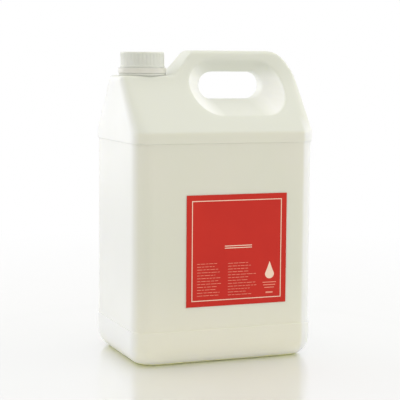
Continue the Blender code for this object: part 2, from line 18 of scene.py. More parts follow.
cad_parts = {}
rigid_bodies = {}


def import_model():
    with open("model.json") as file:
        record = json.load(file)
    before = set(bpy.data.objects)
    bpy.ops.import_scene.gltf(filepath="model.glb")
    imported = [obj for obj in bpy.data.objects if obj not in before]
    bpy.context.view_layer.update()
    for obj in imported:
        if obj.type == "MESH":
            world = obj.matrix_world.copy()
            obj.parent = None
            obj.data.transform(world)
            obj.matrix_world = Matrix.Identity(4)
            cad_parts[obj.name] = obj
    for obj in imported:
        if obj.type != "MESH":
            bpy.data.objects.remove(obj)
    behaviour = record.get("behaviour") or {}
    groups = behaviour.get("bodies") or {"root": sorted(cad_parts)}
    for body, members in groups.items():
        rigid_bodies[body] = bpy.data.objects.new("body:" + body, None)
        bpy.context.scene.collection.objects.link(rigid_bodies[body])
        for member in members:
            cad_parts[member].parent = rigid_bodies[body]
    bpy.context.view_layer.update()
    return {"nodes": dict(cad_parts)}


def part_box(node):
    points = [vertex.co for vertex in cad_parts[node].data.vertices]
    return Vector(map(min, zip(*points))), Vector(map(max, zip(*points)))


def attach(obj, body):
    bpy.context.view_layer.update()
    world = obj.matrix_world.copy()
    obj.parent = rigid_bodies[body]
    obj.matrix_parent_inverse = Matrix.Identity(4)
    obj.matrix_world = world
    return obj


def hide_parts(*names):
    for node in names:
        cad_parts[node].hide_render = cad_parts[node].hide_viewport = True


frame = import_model()

Piece = bpy.types.Object
Node = bpy.types.Node
Socket = bpy.types.NodeSocket
Colour = tuple[float, float, float]
Place = tuple[float, float, float]
Span = tuple[float, float]
Section = list[tuple[float, float]]
Bars = tuple[tuple[float, ...], ...]
Test = Callable[[Vector], bool]

LOG = logging.getLogger("soap_can")
MM = 0.001
FIT_GAP = 0.3 * MM
NEAR = 0.05 * MM
WHITE = (1.0, 1.0, 1.0)
FULL_TURN = 2 * math.pi
TURN_STEPS = 96


class Body(str, Enum):
    """Bodies of the frame that pieces ride on."""

    CAN = "can"
    CAP = "cap"


class Slot(str, Enum):
    """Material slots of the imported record."""

    CAN = "natural_plastic"
    CAP = "cap_plastic"
    LINER = "liner_foam"
    SOAP = "liquid_soap"
    LABEL = "label_face"


def srgb(red: int, green: int, blue: int) -> Colour:
    """Turn a display colour of 0 to 255 into the linear colour a shader takes."""
    def linear(value: int) -> float:
        """Undo the display curve on one value."""
        share = value / 255
        return share / 12.92 if share <= 0.04045 else ((share + 0.055) / 1.055) ** 2.4

    return (linear(red), linear(green), linear(blue))


# Modelling helpers


def deselect_all() -> None:
    """Leave edit mode and clear the selection."""
    if bpy.context.mode != "OBJECT":
        bpy.ops.object.mode_set(mode="OBJECT")
    bpy.ops.object.select_all(action="DESELECT")


def make_active(piece: Piece) -> None:
    """Select one object alone and make it active."""
    deselect_all()
    piece.select_set(True)
    bpy.context.view_layer.objects.active = piece


def edit(piece: Piece, mode: str = "VERT", action: str = "DESELECT") -> None:
    """Open a piece in edit mode.

    Args:
        piece: The piece to edit.
        mode: What is selected there, VERT, EDGE or FACE.
        action: DESELECT to start with nothing selected, or SELECT to start with all of it.
    """
    make_active(piece)
    bpy.ops.object.mode_set(mode="EDIT")
    bpy.ops.mesh.select_mode(type=mode)
    bpy.ops.mesh.select_all(action=action)


def select_parts(piece: Piece, kind: str, test: Callable[[object], bool]) -> int:
    """Select just those parts of the piece in edit mode that pass a test.

    Args:
        piece: The piece in edit mode.
        kind: Which parts, vertices or polygons.
        test: Takes one of them and says whether it is selected.

    Returns:
        How many are selected.
    """
    bpy.ops.object.mode_set(mode="OBJECT")
    mesh = piece.data
    for group in (mesh.vertices, mesh.edges, mesh.polygons):
        group.foreach_set("select", [False] * len(group))
    parts = getattr(mesh, kind)
    chosen = [test(part) for part in parts]
    parts.foreach_set("select", chosen)
    bpy.ops.object.mode_set(mode="EDIT")
    return sum(chosen)


def select_verts(piece: Piece, test: Test) -> int:
    """Select the vertices in edit mode whose place passes a test, and count them."""
    return select_parts(piece, "vertices", lambda vert: test(vert.co))


def select_faces(piece: Piece, test: Callable[[Vector, Vector], bool]) -> None:
    """Select the faces in edit mode whose centre and normal pass a test."""
    select_parts(piece, "polygons", lambda face: test(face.center, face.normal))


def apply_modifiers(piece: Piece) -> None:
    """Apply every modifier of a piece, from the top down."""
    make_active(piece)
    for name in [modifier.name for modifier in piece.modifiers]:
        bpy.ops.object.modifier_apply(modifier=name)


def apply_place(piece: Piece) -> None:
    """Move a piece's place, turn and scale into its mesh."""
    make_active(piece)
    bpy.ops.object.transform_apply(location=True, rotation=True, scale=True)


def close_up(piece: Piece, distance: float = 0.002 * MM) -> None:
    """Merge doubled vertices and turn all faces outwards.

    Args:
        piece: The piece to close.
        distance: Vertices nearer than this become one.
    """
    edit(piece, action="SELECT")
    bpy.ops.mesh.remove_doubles(threshold=distance)
    bpy.ops.mesh.normals_make_consistent(inside=False)
    deselect_all()


def join(target: Piece, *others: Piece) -> None:
    """Join other pieces into one.

    Args:
        target: The piece that stays.
        others: The pieces that go into it.
    """
    deselect_all()
    for other in (target, *others):
        other.select_set(True)
    bpy.context.view_layer.objects.active = target
    bpy.ops.object.join()


def smooth(piece: Piece, degrees: float) -> None:
    """Shade a piece smooth, with edges sharper than an angle left crisp."""
    make_active(piece)
    bpy.ops.object.shade_smooth_by_angle(angle=math.radians(degrees))


def linked(name: str, data: bpy.types.ID) -> Piece:
    """Put a new object into the scene for a mesh, a lamp or a camera."""
    piece = bpy.data.objects.new(name, data)
    bpy.context.scene.collection.objects.link(piece)
    return piece


def section_piece(name: str, section: Section, centre: Vector) -> Piece:
    """Draw a closed section as edges in an upright plane along X.

    Args:
        name: Name of the piece.
        section: Radius and height of each corner.
        centre: Where radius 0 lies; its height isn't used.

    Returns:
        The piece.
    """
    count = len(section)
    edges = [(index, (index + 1) % count) for index in range(count)]
    mesh = bpy.data.meshes.new(name)
    corners = [(centre.x + radius, centre.y, height) for radius, height in section]
    mesh.from_pydata(corners, edges, [])
    return linked(name, mesh)


def turned(name: str, section: Section, centre: Vector) -> Piece:
    """Spin a closed section about an upright axis.

    Args:
        name: Name of the piece.
        section: Radius and height of each corner.
        centre: A point on the axis; its height isn't used.

    Returns:
        The closed turned piece.
    """
    piece = section_piece(name, section, centre)
    edit(piece, action="SELECT")
    axis_foot = (centre.x, centre.y, 0)
    bpy.ops.mesh.spin(steps=TURN_STEPS, angle=FULL_TURN, center=axis_foot, axis=(0, 0, 1))
    deselect_all()
    close_up(piece)
    return piece


def turn_about(piece: Piece, centre: Vector, angle: float) -> None:
    """Turn a piece made round the origin by an angle and set it round another upright axis."""
    place = Matrix.Translation((centre.x, centre.y, 0))
    piece.matrix_world = place @ Matrix.Rotation(angle, 4, "Z")
    apply_place(piece)


def block(name: str, low: Place, high: Place) -> Piece:
    """A plain block between two opposite corners.

    Args:
        name: Its name.
        low: The corner with the lowest values.
        high: The corner with the highest values.

    Returns:
        The block, its place in its mesh.
    """
    deselect_all()
    bpy.ops.mesh.primitive_cube_add(size=1)
    piece = bpy.context.active_object
    piece.name = piece.data.name = name
    piece.scale = [end - start for start, end in zip(low, high)]
    piece.location = [(start + end) / 2 for start, end in zip(low, high)]
    apply_place(piece)
    return piece


def cut_levels(piece: Piece, heights: Iterable[float]) -> None:
    """Cut a level edge loop right round a piece at each height."""
    for height in heights:
        edit(piece, action="SELECT")
        bpy.ops.mesh.bisect(plane_co=(0, 0, height), plane_no=(0, 0, 1))
    deselect_all()


@dataclass(frozen=True)
class Thread:
    """The screw thread that the neck and the cap share."""

    pitch: float = 5.0 * MM
    depth: float = 1.25 * MM
    half_foot: float = 1.2 * MM
    half_crest: float = 0.5 * MM
    start_angle: float = math.radians(2.1)
    run_out_turns: float = 0.12
    steps_per_turn: int = 72

    def ridge(self, name: str, foot: float, crest: float, start: float, turns: float,
              centre: Vector, lead_turns: float = 0.0) -> Piece:
        """Sweep the thread's section up a helix, its crest running out at both ends.

        Args:
            name: Name of the piece.
            foot: Radius of the section's foot.
            crest: Radius of its crest, outside the foot or inside it.
            start: Height of its middle at the start.
            turns: Length of the helix in turns.
            centre: A point on the axis; its height isn't used.
            lead_turns: How far round past the start angle it begins.

        Returns:
            The closed ridge.
        """
        section = [(foot, start - self.half_foot), (crest, start - self.half_crest),
                   (crest, start + self.half_crest), (foot, start + self.half_foot)]
        ridge = section_piece(name, section, Vector((0, 0, 0)))
        sweep = ridge.modifiers.new("sweep", "SCREW")
        sweep.angle = FULL_TURN * turns
        sweep.screw_offset = self.pitch * turns
        sweep.steps = sweep.render_steps = round(self.steps_per_turn * turns)
        apply_modifiers(ridge)
        for vert in ridge.data.vertices:
            radius = math.hypot(vert.co.x, vert.co.y)
            around = math.atan2(vert.co.y, vert.co.x) % FULL_TURN / FULL_TURN
            climbed = (vert.co.z - start + self.half_foot) / self.pitch
            at = around + round(climbed - around - self.half_foot / self.pitch)
            share = min(1.0, max(0.0, at) / self.run_out_turns,
                        max(0.0, turns - at) / self.run_out_turns)
            factor = (foot + (radius - foot) * share) / radius
            vert.co.x *= factor
            vert.co.y *= factor
        edit(ridge, "EDGE")
        bpy.ops.mesh.select_non_manifold()
        bpy.ops.mesh.edge_face_add()
        turn_about(ridge, centre, self.start_angle + lead_turns * FULL_TURN)
        close_up(ridge)
        return ridge


# Finishes


class NodeSheet:
    """A node tree with short calls for adding and joining its nodes."""

    def __init__(self, owner: bpy.types.ID, shader: str = "Principled BSDF") -> None:
        """Open the nodes of a new material or world.

        Args:
            owner: The material or world.
            shader: Name of the shader node that it starts with.
        """
        owner.use_nodes = True
        self.owner = owner
        self.tree = owner.node_tree
        self.shader = self.tree.nodes[shader]

    def add(self, kind: str, **settings: object) -> Node:
        """Add a node and set its plain properties."""
        node = self.tree.nodes.new(kind)
        for name, value in settings.items():
            setattr(node, name, value)
        return node

    def plug(self, socket: Socket, value: object) -> None:
        """Join a source to an input, or give the input a plain value."""
        if isinstance(value, bpy.types.NodeSocket):
            self.tree.links.new(value, socket)
        else:
            socket.default_value = value

    def fill(self, node: Node, **values: object) -> None:
        """Plug inputs of a node by name, with underscores for spaces."""
        for name, value in values.items():
            self.plug(node.inputs[name.replace("_", " ")], value)

    def set(self, **values: object) -> None:
        """Plug inputs of the shader by name."""
        self.fill(self.shader, **values)

    def place(self) -> Socket:
        """The piece's own coordinates, in metres."""
        return self.add("ShaderNodeTexCoord").outputs["Object"]

    def parts(self, vector: Socket) -> bpy.types.NodeOutputs:
        """The X, Y and Z of a vector."""
        split = self.add("ShaderNodeSeparateXYZ")
        self.plug(split.inputs[0], vector)
        return split.outputs

    def length(self, vector: Socket) -> Socket:
        """The length of a vector."""
        node = self.add("ShaderNodeVectorMath", operation="LENGTH")
        self.plug(node.inputs[0], vector)
        return node.outputs["Value"]

    def calc(self, operation: str, *values: object) -> Socket:
        """Reckon with values, each a socket or a number."""
        node = self.add("ShaderNodeMath", operation=operation)
        for socket, value in zip(node.inputs, values):
            self.plug(socket, value)
        return node.outputs[0]

    def noise(self, place: Socket, scale: float, detail: float = 2.0,
              stretch: Place = (1, 1, 1)) -> Socket:
        """Noise over the piece.

        Args:
            place: Coordinates it reads.
            scale: Waves in a metre.
            detail: Octaves.
            stretch: Factor on the scale along each axis.

        Returns:
            The noise value socket.
        """
        mapping = self.add("ShaderNodeMapping")
        self.fill(mapping, Scale=stretch, Vector=place)
        noise = self.add("ShaderNodeTexNoise")
        self.fill(noise, Scale=scale, Detail=detail, Vector=mapping.outputs["Vector"])
        return noise.outputs["Fac"]

    def spread(self, value: Socket, low: float, high: float, start: float = 0.3,
               end: float = 0.7, kind: str = "LINEAR") -> Socket:
        """Map a value between start and end onto low to high.

        Args:
            value: The value socket.
            low: Result at start.
            high: Result at end.
            start: Lower end of the value.
            end: Upper end of the value.
            kind: How it goes from one to the other.

        Returns:
            The mapped socket.
        """
        ranged = self.add("ShaderNodeMapRange", interpolation_type=kind)
        self.fill(ranged, Value=value, From_Min=start, From_Max=end, To_Min=low, To_Max=high)
        return ranged.outputs["Result"]

    def mix(self, share: Socket, first: object, second: object) -> Socket:
        """Mix two colours, each a tuple or a socket.

        Args:
            share: How much of the second shows.
            first: Colour at 0.
            second: Colour at 1.

        Returns:
            The mixed colour socket.
        """
        mixer = self.add("ShaderNodeMix", data_type="RGBA")
        self.plug(mixer.inputs["Factor"], share)
        sockets = [socket for socket in mixer.inputs if socket.type == "RGBA"]
        for socket, colour in zip(sockets, (first, second)):
            self.plug(socket, (*colour, 1.0) if isinstance(colour, tuple) else colour)
        return [socket for socket in mixer.outputs if socket.type == "RGBA"][0]

    def blend(self, share: object, first: Node, second: Node) -> Node:
        """Mix the shaders of two nodes by a share of the second."""
        mixer = self.add("ShaderNodeMixShader")
        for socket, value in zip(mixer.inputs, (share, first.outputs[0], second.outputs[0])):
            self.plug(socket, value)
        return mixer

    def mottle(self, noise: Socket, first: Colour, second: Colour) -> None:
        """Colour the shader by noise between two colours."""
        self.set(Base_Color=self.mix(self.spread(noise, 0, 1), first, second))

    def bump(self, heights: list[tuple[Socket, float]], strength: float) -> None:
        """Bump the shader's normal by summed heights.

        Args:
            heights: Height sockets and the depth of each in metres.
            strength: Share of the bump that shows.
        """
        scaled = [self.calc("MULTIPLY", socket, depth) for socket, depth in heights]
        total = scaled[0]
        for more in scaled[1:]:
            total = self.calc("ADD", total, more)
        bump = self.add("ShaderNodeBump")
        self.fill(bump, Strength=strength, Distance=1.0, Height=total)
        self.set(Normal=bump.outputs["Normal"])

    def seeing_rays(self) -> Socket:
        """1 for a ray that shows the background: of the camera, a reflection or a see-through."""
        rays = self.add("ShaderNodeLightPath").outputs
        either = self.calc("MAXIMUM", rays["Is Camera Ray"], rays["Is Glossy Ray"])
        return self.calc("MAXIMUM", either, rays["Is Transmission Ray"])


class Finish:
    """A procedural material."""

    name: str

    def paint(self, sheet: NodeSheet) -> None:
        """Fill in the material's nodes."""
        raise NotImplementedError

    def build(self) -> bpy.types.Material:
        """Make the material and paint it."""
        sheet = NodeSheet(bpy.data.materials.new(self.name))
        self.paint(sheet)
        return sheet.owner


@dataclass(frozen=True)
class NaturalPlastic(Finish):
    """Waxy unpigmented polyethylene, with the soap showing through it up to the fill."""

    name: str = "natural_plastic"
    above: Colour = srgb(222, 224, 215)
    below: Colour = srgb(226, 225, 213)
    deep: Colour = srgb(221, 224, 208)
    # painted light: the left side and the right front corner drawn lighter, where the side lamps
    # fall
    painted_side_light: Colour = srgb(235, 236, 235)
    # painted light: the hand hole's flare drawn lighter, as if lit through
    painted_rim_glow: Colour = srgb(250, 251, 248)
    # painted light: the can drawn lighter towards the bottom
    low: Colour = srgb(238, 236, 221)
    # painted light: a yellow glow along the foot where it meets the floor
    foot: Colour = srgb(248, 250, 196)
    deep_share: float = 0.6
    fill_height: float = 217.0 * MM
    fill_blur: float = 1.2 * MM
    painted_left_light_span: Span = (-90.7 * MM, -86.0 * MM)
    painted_right_light_span: Span = (76.0 * MM, 79.0 * MM)
    painted_right_light_top: Span = (216.0 * MM, 232.0 * MM)
    rim_centre: Place = (23.75 * MM, 0, 257.45 * MM)
    rim_radius: float = 26.6 * MM
    rim_half_straight: float = 22.7 * MM
    rim_edge: Span = (0.94, 0.99)
    rim_ends: Span = (0.7, 1.3)
    rim_middle_share: float = 0.25
    rim_lit_below: Span = (266.0 * MM, 279.0 * MM)
    low_height: float = 85.0 * MM
    painted_foot_glow_height: float = 3.2 * MM
    roughness: Span = (0.32, 0.42)
    grain_depth: float = 0.02 * MM
    ripple_depth: float = 0.35 * MM
    glow: float = 0.35
    glow_reach: float = 6.0 * MM
    foot_glow: float = 1.0
    foot_glow_reach: float = 30.0 * MM
    foot_glow_height: float = 22.0 * MM

    def lit_rim(self, sheet: NodeSheet, place: Socket, height: Socket) -> Socket:
        """Share of the painted light on the hand hole's flare, drawn as if light passed through
        it.

        Args:
            sheet: The material's sheet.
            place: The piece's own coordinates.
            height: Their upright part.

        Returns:
            The share socket: full at the ends of the hole, little below it and none above.
        """
        offset = sheet.add("ShaderNodeMapping", vector_type="TEXTURE")
        sheet.fill(offset, Location=self.rim_centre, Vector=place,
                   Scale=(self.rim_radius, 1, self.rim_radius))
        parts = sheet.parts(offset.outputs["Vector"])
        aside = sheet.calc("ABSOLUTE", parts["X"])
        straight = self.rim_half_straight / self.rim_radius
        flat = sheet.add("ShaderNodeCombineXYZ")
        sheet.fill(flat, X=sheet.spread(aside, 0, 1, straight, straight + 1), Z=parts["Z"])
        inside = sheet.spread(sheet.length(flat.outputs[0]), 1, 0, *self.rim_edge)
        ends = sheet.spread(aside, self.rim_middle_share, 1, *self.rim_ends)
        lit = sheet.spread(height, 1, 0, *self.rim_lit_below)
        return sheet.calc("MULTIPLY", sheet.calc("MULTIPLY", inside, ends), lit)

    def paint(self, sheet: NodeSheet) -> None:
        """Paint the plastic by height, paint light onto its left side, right corner, hand-hole
        flare, lower part and foot, and let light into it.
        """
        place = sheet.place()
        parts = sheet.parts(place)
        across, height = parts["X"], parts["Z"]
        clouds = sheet.noise(place, 14, 3.0, (1, 1, 0.5))
        soap = sheet.mix(sheet.spread(clouds, 0, self.deep_share), self.below, self.deep)
        fill_edge = (self.fill_height - self.fill_blur, self.fill_height + self.fill_blur)
        body = sheet.mix(sheet.spread(height, 1, 0, *fill_edge), self.above, soap)
        # painted light: lighter towards the bottom
        body = sheet.mix(sheet.spread(height, 1, 0, 0, self.low_height), body, self.low)
        # painted light on the left side, and on the right corner below the shoulder
        body = sheet.mix(sheet.spread(across, 1, 0, *self.painted_left_light_span), body, self.painted_side_light)
        right = sheet.calc("MULTIPLY", sheet.spread(across, 0, 1, *self.painted_right_light_span),
                           sheet.spread(height, 1, 0, *self.painted_right_light_top))
        body = sheet.mix(right, body, self.painted_side_light)
        # painted light on the hand hole's flare
        body = sheet.mix(self.lit_rim(sheet, place, height), body, self.painted_rim_glow)
        # painted glow along the foot
        foot = sheet.spread(height, 1, 0, 0, self.painted_foot_glow_height)
        grain = sheet.noise(place, 900)
        ripple = sheet.noise(place, 38, 2.0, (1, 1, 0.6))
        glow_span = (0, self.foot_glow_height)
        sheet.set(
            Base_Color=sheet.mix(foot, body, self.foot),
            Roughness=sheet.spread(ripple, *self.roughness),
            IOR=1.51,
            Subsurface_Radius=(1.0, 1.0, 0.8),
            Subsurface_Weight=sheet.spread(height, self.foot_glow, self.glow, *glow_span),
            Subsurface_Scale=sheet.spread(height, self.foot_glow_reach, self.glow_reach,
                                          *glow_span))
        sheet.bump([(grain, self.grain_depth), (ripple, self.ripple_depth)], 0.5)


@dataclass(frozen=True)
class MouldedPlastic(Finish):
    """Satin moulded plastic of the cap and its ring."""

    name: str
    colour: Colour
    shade: Colour
    roughness: Span = (0.31, 0.39)
    grain_depth: float = 0.015 * MM

    def paint(self, sheet: NodeSheet) -> None:
        """Mottle the plastic faintly under a fine grain."""
        place = sheet.place()
        clouds = sheet.noise(place, 60, 3.0)
        sheet.mottle(clouds, self.colour, self.shade)
        sheet.set(Roughness=sheet.spread(clouds, *self.roughness), IOR=1.49,
                  Subsurface_Weight=0.5, Subsurface_Radius=(1.0, 1.0, 0.85),
                  Subsurface_Scale=3.0 * MM)
        sheet.bump([(sheet.noise(place, 1400), self.grain_depth)], 0.5)


@dataclass(frozen=True)
class LabelFilm(Finish):
    """Printed film: semi-gloss ink with a faint fibre under it."""

    name: str
    colour: Colour
    shade: Colour
    roughness: Span = (0.38, 0.50)
    fibre_depth: float = 0.02 * MM
    wave_depth: float = 0.2 * MM

    def paint(self, sheet: NodeSheet) -> None:
        """Lay the ink over the film's fibre and slow waves."""
        place = sheet.place()
        clouds = sheet.noise(place, 22)
        fibre = sheet.noise(place, 700, 3.0, (1, 1, 0.4))
        sheet.mottle(clouds, self.colour, self.shade)
        sheet.set(Roughness=sheet.spread(fibre, *self.roughness), IOR=1.48,
                  Specular_IOR_Level=0.35)
        sheet.bump([(fibre, self.fibre_depth), (clouds, self.wave_depth)], 0.4)


@dataclass(frozen=True)
class FoamWad(Finish):
    """White foamed sealing disc."""

    name: str = "liner_foam"
    colour: Colour = srgb(240, 240, 236)
    shade: Colour = srgb(228, 228, 222)
    cell_depth: float = 0.06 * MM

    def paint(self, sheet: NodeSheet) -> None:
        """Dimple the foam with its cells."""
        cells = sheet.noise(sheet.place(), 1600, 3.0)
        sheet.mottle(cells, self.colour, self.shade)
        sheet.set(Roughness=0.7)
        sheet.bump([(cells, self.cell_depth)], 0.6)


@dataclass(frozen=True)
class CloudySoap(Finish):
    """Thick straw-coloured liquid with a slight pearl."""

    name: str = "cloudy_soap"
    clear: Colour = srgb(222, 220, 190)
    cloudy: Colour = srgb(214, 214, 184)

    def paint(self, sheet: NodeSheet) -> None:
        """Cloud the liquid and let light into it."""
        sheet.mottle(sheet.noise(sheet.place(), 30, 3.0), self.clear, self.cloudy)
        sheet.set(Roughness=0.08, IOR=1.38, Subsurface_Weight=0.6,
                  Subsurface_Radius=(1.0, 0.95, 0.7), Subsurface_Scale=8 * MM)


def dress(piece: Piece, finish: Finish) -> None:
    """Give a piece its finish."""
    piece.data.materials.clear()
    piece.data.materials.append(finish.build())


def finish_piece(piece: Piece, finish: Finish, body: Body,
                 replaced: Optional[str] = None) -> None:
    """Dress a finished piece and set it on its body.

    Args:
        piece: The piece, its place already in its mesh.
        finish: Its finish.
        body: The body it moves with.
        replaced: The CAD node it stands for.
    """
    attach(piece, body.value)
    dress(piece, finish)
    if replaced:
        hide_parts(replaced)
    LOG.info("%s rides on %s with %d faces", piece.name, body.value, len(piece.data.polygons))


CAP_FINISH = MouldedPlastic("cap_plastic", srgb(224, 226, 219), srgb(218, 220, 212))
RING_FINISH = MouldedPlastic("ring_plastic", srgb(230, 229, 221), srgb(225, 224, 215))
LABEL_RED = LabelFilm("label_red", srgb(203, 36, 18), srgb(197, 31, 15))
LABEL_CREAM = LabelFilm("label_cream", srgb(247, 222, 200), srgb(243, 214, 192))
LABEL_PINK = LabelFilm("label_pink", srgb(240, 160, 136), srgb(234, 150, 126))
THREAD = Thread()


# Pieces


@dataclass
class Can:
    """The blown can with its moulded-in handle, and its neck finish."""

    neck_x: float = -62.7 * MM
    neck_radius: float = 17.3 * MM
    bore_radius: float = 15.4 * MM
    plateau: float = 268.5 * MM
    bore_floor: float = 216.9 * MM
    bead_radius: float = 20.7 * MM
    bead_bottom: float = 272.9 * MM
    bead_height: float = 1.3 * MM
    bead_slope: float = 1.6 * MM
    bead_edge: float = 0.2 * MM
    mouth_edge: float = 0.6 * MM
    collar_radius: float = 22.5 * MM
    collar_edge: float = 0.4 * MM
    collar_foot_radius: float = 17.6 * MM
    collar_foot_depth: float = 2.6 * MM
    collar_below_ring: float = 0.05 * MM
    thread_start: float = 278.9 * MM
    thread_turns: float = 1.4
    thread_sink: float = 0.4 * MM
    band_depth: float = 0.85 * MM
    band_bottom: float = 33.0 * MM
    band_top: float = 206.5 * MM
    band_step: float = 1.8 * MM
    voxel: float = 1.6 * MM
    soften_rounds: int = 2
    well_above_plateau: float = 5 * MM

    @property
    def neck_centre(self) -> Vector:
        """The neck's axis."""
        return Vector((self.neck_x, 0, 0))

    @property
    def mouth(self) -> float:
        """Height of the neck's rim, a fit gap below the wad."""
        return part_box("cap_liner")[0].z - FIT_GAP

    def outer_form(self) -> Piece:
        """The can's closed outer skin without its neck, taken from the frame."""
        form = linked("can_shell", frame["nodes"]["can_body"].data.copy())
        close_up(form, 0.01 * MM)
        edit(form)
        count = select_verts(form, self.of_neck)
        LOG.info("cutting %d neck vertices off the can's skin", count)
        bpy.ops.mesh.delete(type="VERT")
        widest = max(form.data.vertices, key=lambda vert: vert.co.x).co.x
        select_verts(form, lambda co: co.x > widest - 0.01 * MM)
        bpy.ops.mesh.select_linked()
        bpy.ops.mesh.select_all(action="INVERT")
        bpy.ops.mesh.delete(type="VERT")
        bpy.ops.mesh.select_mode(type="EDGE")
        bpy.ops.mesh.select_non_manifold()
        bpy.ops.mesh.edge_face_add()
        deselect_all()
        return form

    def of_neck(self, co: Vector) -> bool:
        """Whether a vertex of the CAD can belongs to its neck or bore."""
        off_axis = (co.xy - self.neck_centre.xy).length
        above = co.z > self.plateau + 0.1 * MM and off_axis < self.bead_radius + 1 * MM
        inside = co.z > self.bore_floor and off_axis < self.neck_radius - 0.2 * MM
        return above or inside

    def level_band(self, form: Piece, outwards: float) -> None:
        """Push the recessed band of the sides out or in.

        Args:
            form: The can's form.
            outwards: How far its faces move along their normals.
        """
        edit(form)
        select_verts(form, lambda co: self.band_bottom - NEAR < co.z < self.band_top + NEAR)
        bpy.ops.transform.shrink_fatten(value=outwards)
        deselect_all()

    def soften(self, form: Piece) -> None:
        """Rebuild the skin in even quads and soften its moulded edges."""
        remesh = form.modifiers.new("even quads", "REMESH")
        remesh.mode = "VOXEL"
        remesh.voxel_size = self.voxel
        relax = form.modifiers.new("soft edges", "SMOOTH")
        relax.factor = 0.5
        relax.iterations = self.soften_rounds
        apply_modifiers(form)

    def cut_band(self, form: Piece) -> None:
        """Sink the label band behind crisp steps, cut in as edge loops."""
        cut_levels(form, (self.band_bottom - self.band_step, self.band_bottom,
                          self.band_top, self.band_top + self.band_step))
        self.level_band(form, -self.band_depth)

    def neck(self) -> Piece:
        """The neck's tube, flange, bead and thread, sunk a little into the plateau."""
        bead_top = self.bead_bottom + self.bead_height
        edge = self.mouth_edge
        root = self.plateau - self.collar_foot_depth
        collar_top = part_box("tamper_ring")[0].z - self.collar_below_ring
        section = [
            (self.bore_radius, root),
            (self.collar_foot_radius, root),
            (self.collar_radius, self.plateau + self.collar_edge),
            (self.collar_radius, collar_top - self.collar_edge),
            (self.collar_radius - self.collar_edge, collar_top),
            (self.neck_radius, collar_top),
            (self.neck_radius, self.bead_bottom),
            (self.bead_radius - self.bead_edge, self.bead_bottom),
            (self.bead_radius, self.bead_bottom + self.bead_edge),
            (self.bead_radius, bead_top),
            (self.neck_radius, bead_top + self.bead_slope),
            (self.neck_radius, self.mouth - edge),
            (self.neck_radius - edge * 0.3, self.mouth - edge * 0.3),
            (self.neck_radius - edge, self.mouth),
            (self.bore_radius + edge * 0.5, self.mouth),
            (self.bore_radius, self.mouth - edge * 0.5),
        ]
        neck = turned("neck_tube", section, self.neck_centre)
        thread = THREAD.ridge("neck_thread", self.neck_radius - self.thread_sink,
                              self.neck_radius + THREAD.depth, self.thread_start,
                              self.thread_turns, self.neck_centre)
        join(neck, thread)
        return neck

    def well(self, form: Piece) -> None:
        """Open the form below the neck down to the soap."""
        depth = self.plateau + self.well_above_plateau - self.bore_floor
        deselect_all()
        bpy.ops.mesh.primitive_cylinder_add(
            vertices=TURN_STEPS, radius=self.bore_radius, depth=depth,
            location=(self.neck_x, 0, self.bore_floor + depth / 2))
        cutter = bpy.context.active_object
        cut = form.modifiers.new("well", "BOOLEAN")
        cut.operation = "DIFFERENCE"
        cut.solver = "EXACT"
        cut.object = cutter
        apply_modifiers(form)
        bpy.data.objects.remove(cutter, do_unlink=True)

    def build(self) -> None:
        """Make the can and set it on its body."""
        form = self.outer_form()
        self.level_band(form, self.band_depth)
        self.soften(form)
        self.cut_band(form)
        self.well(form)
        join(form, self.neck())
        form.name = form.data.name = "can_shell"
        smooth(form, 50)
        finish_piece(form, NaturalPlastic(), Body.CAN, "can_body")


